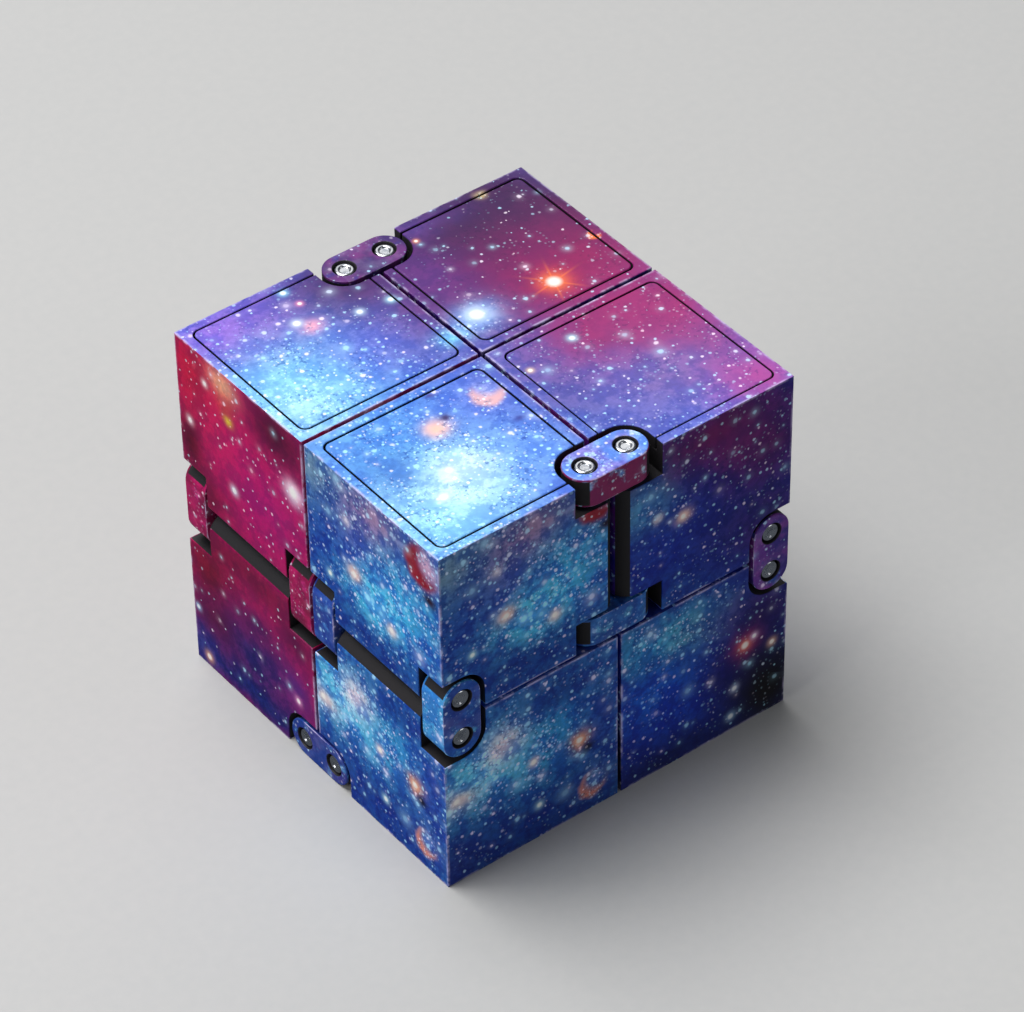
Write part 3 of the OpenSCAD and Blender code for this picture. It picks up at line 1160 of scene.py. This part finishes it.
def link_material(link):
    """The printed plastic of one link."""
    low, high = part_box("link_" + link)
    size = Vector(high) - Vector(low)
    thin, wide, long = sorted(range(3), key=lambda axis: size[axis])
    material, tree, shader, bump, spot = start_material("link_" + link + "_plastic")
    looking = made(tree, "ShaderNodeTexCoord")["Normal"]
    lay = place(
        tree,
        link_layout,
        Place=spot,
        Facing=looking,
        Middle=centre_of("link_" + link) / MM,
        Along=[int(axis == long) for axis in range(3)],
        Through=[int(axis == thin) for axis in range(3)],
        Pin_spread=(size[long] - size[wide]) / 2 / MM,
        Half_thickness=size[thin] / 2 / MM,
    )
    ground, second, third = LINK_SKIES.get(link) or LINK_SKIES[link.rsplit("_", 1)[0]]
    laid_out = place(tree, wrapped, Place=spot, Facing=looking)["Point"]
    bent = place(tree, ragged, Point=laid_out, Large=1.6, Small=0.6)["Point"]
    spread = ramped(tree, noise(tree, bent, 3.0, 3.0), 0.4, 0.6)
    colour = mixed(tree, spread, paint(ground), paint(second))
    if link in LINK_SIDES:
        colour = mixed(tree, lay["Side"], colour, paint(LINK_SIDES[link]))
    wisps = ramped(tree, noise(tree, bent, 1.6, 3.0), 0.55, 0.75)
    colour = mixed(tree, wisps, colour, paint(third))
    starriness = {"Billow": 0.6, "Dust": 1.0, "Stars": 1.5, "Star_size": 1.0}
    colour = place(tree, starry, Sky=colour, Point=laid_out, **starriness)["Colour"]
    finish_print(tree, shader, bump, spot, colour, lay["Printed"], lay["Edge"], LINK_HIGHLIGHT)
    return material


LINK_ROUND = 0.2 * MM
links = [hinge + end for hinge in HINGES for end in ("_outer", "_inner")]
for link in links:
    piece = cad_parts["link_" + link]
    round_edges(piece, LINK_ROUND)
    dress(piece, link_material(link))
print("links dressed", len(links))

# %% [markdown]
# The pins are steel rivets with a rolled rim and a dish in the head. Where each one stands is measured
# from the CAD pins: every loose part of their mesh is one pin, and its head is at the wider end.

# %% Finding the pins
def loose_parts(mesh):
    """The corner points of each separate part of a mesh."""
    grid = bmesh.new()
    grid.from_mesh(mesh)
    bmesh.ops.remove_doubles(grid, verts=grid.verts, dist=SAME_POINT)
    unseen = set(grid.verts)
    parts = []
    while unseen:
        stack = [unseen.pop()]
        part = []
        while stack:
            vertex = stack.pop()
            part.append(vertex.co.copy())
            near = {edge.other_vert(vertex) for edge in vertex.link_edges} & unseen
            unseen -= near
            stack.extend(near)
        parts.append(part)
    grid.free()

    def middle_of(part):
        """The part's middle, rounded, to sort by."""
        return tuple(round(value, 5) for value in sum(part, Vector()) / len(part))

    return sorted(parts, key=middle_of)


def measure_pin(points):
    """A pin's face centre and direction, its length, and the radius of its head and its shank."""
    low = Vector([min(point[axis] for point in points) for axis in range(3)])
    high = Vector([max(point[axis] for point in points) for axis in range(3)])
    size = high - low
    axis = max(range(3), key=lambda side: size[side])
    centre = (low + high) / 2
    head_radius = max(size[other] for other in range(3) if other != axis) / 2

    def radius(point):
        """Distance from the pin's axis."""
        spoke = point - centre
        spoke[axis] = 0
        return spoke.length

    wide = [point[axis] for point in points if radius(point) > 0.9 * head_radius]
    facing_sign = 1 if sum(wide) / len(wide) > centre[axis] else -1
    face = centre.copy()
    face[axis] = high[axis] if facing_sign > 0 else low[axis]
    outward = Vector((0, 0, 0))
    outward[axis] = facing_sign
    narrow = [radius(point) for point in points if abs(point[axis] - face[axis]) > 0.9 * size[axis]]
    return face, outward, size[axis], head_radius, max(narrow)


# %% [markdown]
# A turned part is made by spinning a profile. The code lists the profile once, as (radius, height) pairs:
# from the middle of the dish, over the rolled rim, down the head and along the shank. Each pair becomes a
# ring of corners, and ring after ring joins up into a closed mesh.


# %% Turning the rivets
RIVET_SIDES = 40
HEAD_THICKNESS = 0.6 * MM
DISH_DEPTH = 0.15 * MM
RIM_STEPS = 8
RIM_HEIGHT = 0.65
HEAD_CHAMFER = 0.08 * MM
TIP_CHAMFER = 0.1 * MM


def rivet_profile(length, head_r, shank_r):
    """(radius, height) pairs, from the dish's middle to that of the shank's end. The face is at 0."""
    dish_r = 0.5 * head_r
    rim = (head_r - dish_r) / 2
    rows = [(0, -DISH_DEPTH), (0.5 * dish_r, -DISH_DEPTH), (0.85 * dish_r, -DISH_DEPTH - 0.005 * MM)]
    for step in range(RIM_STEPS + 1):
        angle = radians(180 - 180 / RIM_STEPS * step)
        rows.append((dish_r + rim + rim * cos(angle), (sin(angle) - 1) * RIM_HEIGHT * rim))
    return rows + [
        (head_r, -HEAD_THICKNESS + HEAD_CHAMFER),
        (head_r - HEAD_CHAMFER, -HEAD_THICKNESS),
        (shank_r, -HEAD_THICKNESS),
        (shank_r, -length + TIP_CHAMFER),
        (shank_r - TIP_CHAMFER, -length),
        (0, -length),
    ]


def turned(grid, rows, face, outward):
    """Adds one turned part to a bmesh, with its face at a point and its axis along a direction."""
    side_a = Vector((1, 0, 0)) if abs(outward.x) < 0.5 else Vector((0, 1, 0))
    side_b = outward.cross(side_a)
    rings = []
    for ring_radius, ring_height in rows:
        if ring_radius == 0:
            rings.append([grid.verts.new(face + outward * ring_height)])
            continue
        ring = []
        for step in range(RIVET_SIDES):
            angle = radians(360 / RIVET_SIDES * step)
            spoke = side_a * cos(angle) + side_b * sin(angle)
            ring.append(grid.verts.new(face + spoke * ring_radius + outward * ring_height))
        rings.append(ring)
    for upper, lower in zip(rings, rings[1:]):
        for step in range(RIVET_SIDES):
            following = (step + 1) % RIVET_SIDES
            around = ((upper, step), (lower, step), (lower, following), (upper, following))
            corners = [ring[side % len(ring)] for ring, side in around]
            unique = list(dict.fromkeys(corners))
            grid.faces.new(unique).smooth = True


# %% [markdown]
# The steel is plated and polished: a metal with low roughness, faint turning marks round the head, and
# slightly duller smudges. The marks follow rings round each pin, so they use the distance from its axis,
# which the mesh carries as a named attribute.

# %% Rivet steel
steel, tree, shader, bump, spot = start_material("rivet_steel", 0.01)
shader.inputs["Metallic"].default_value = 1
rings = made(tree, "ShaderNodeAttribute", attribute_name="turning")["Vector"]
marks = noise(tree, vector(tree, "MULTIPLY", rings, (1, 0.02, 1)), 0.05)
smudge = noise(tree, spot, 0.7, 3.0)
tone = mixed(tree, ramped(tree, smudge, 0.4, 0.7), paint("#EEF0F4"), paint("#C4C8D0"))
feed(tree, shader.inputs["Base Color"], tone)
feed(tree, shader.inputs["Roughness"], ramped(tree, smudge, 0.35, 0.75, 0.14, 0.28))
feed(tree, bump.inputs["Height"], marks)


def rivets(node, body):
    """Makes one piece with a turned rivet for each pin of a CAD node, and returns how many."""
    grid = bmesh.new()
    from_axes = []
    pins = loose_parts(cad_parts[node].data)
    for pin in pins:
        face, outward, length, head_r, shank_r = measure_pin(pin)
        start = len(grid.verts)
        turned(grid, rivet_profile(length, head_r, shank_r), face, outward)
        grid.verts.ensure_lookup_table()
        for vertex in grid.verts[start:]:
            height = (vertex.co - face).dot(outward)
            from_axes.append(((vertex.co - face - outward * height).length / MM, height / MM, 0))
    bmesh.ops.recalc_face_normals(grid, faces=grid.faces)
    name = node.replace("pins", "rivets")
    mesh = bpy.data.meshes.new(name)
    grid.to_mesh(mesh)
    grid.free()
    attribute = mesh.attributes.new("turning", "FLOAT_VECTOR", "POINT")
    for place_on_pin, entry in zip(from_axes, attribute.data):
        entry.vector = place_on_pin
    mesh.materials.append(steel)
    piece = bpy.data.objects.new(name, mesh)
    bpy.context.scene.collection.objects.link(piece)
    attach(piece, body)
    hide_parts(node)
    return len(pins)


turned_count = sum(rivets("pins_" + box, "cubelet_" + box) for box in SLOTS)
turned_count += rivets("pins_open_pivot", "links_rear")
print("rivets", turned_count)

# %% [markdown]
# The floor is a plain pale sheet, wide enough to fill every view. It is left out of mirror reflections,
# because its pale image in the lacquer would grey the dark sides.

# %% Floor
reach_out = 1.6
corners = [(x * reach_out, y * reach_out, 0) for x, y in ((-1, -1), (1, -1), (1, 1), (-1, 1))]
floor_mesh = bpy.data.meshes.new("studio_floor")
floor_mesh.from_pydata(corners, [], [(0, 1, 2, 3)])
floor = bpy.data.objects.new("studio_floor", floor_mesh)
bpy.context.scene.collection.objects.link(floor)
floor.visible_glossy = False

paper = bpy.data.materials.new("pale_paper")
paper.use_nodes = True
tree = paper.node_tree
shader = tree.nodes["Principled BSDF"]
fibre = noise(tree, made(tree, "ShaderNodeTexCoord")["Object"], 1.2 * MM, 4.0)
feed(tree, shader.inputs["Base Color"], mixed(tree, fibre, paint("#B8B8B7"), paint("#BFBEBC")))
shader.inputs["Roughness"].default_value = 0.7
floor_mesh.materials.append(paper)
print("floor", reach_out * 2, "m wide")

# %% [markdown]
# When the toy unfolds, some boxes swing below the place where the base was. A real toy would then rest on
# them, so the sheet looks for the lowest box and lies under it. Geometry nodes can do that: they take the
# box around all the shells and lower the sheet to its foot.

# %% Floor under the lowest box
sinking = bpy.data.node_groups.new("Sheet under the lowest box", "GeometryNodeTree")
for direction in ("INPUT", "OUTPUT"):
    sinking.interface.new_socket(name="Geometry", in_out=direction, socket_type="NodeSocketGeometry")
together = sinking.nodes.new("GeometryNodeJoinGeometry")
for piece in shells:
    found = made(sinking, "GeometryNodeObjectInfo", {"Object": piece}, transform_space="RELATIVE")
    sinking.links.new(found["Geometry"], together.inputs[0])
around = made(sinking, "GeometryNodeBoundBox", {0: together.outputs[0]})
foot = joined(sinking, Z=split(sinking, around["Min"])["Z"])
sheet = sinking.nodes.new("NodeGroupInput").outputs[0]
lowered = made(sinking, "GeometryNodeTransform", {"Geometry": sheet, "Translation": foot})
feed(sinking, sinking.nodes.new("NodeGroupOutput").inputs[0], lowered[0])
floor.modifiers.new("lie_under_the_toy", "NODES").node_group = sinking
print("under", len(shells), "shells")
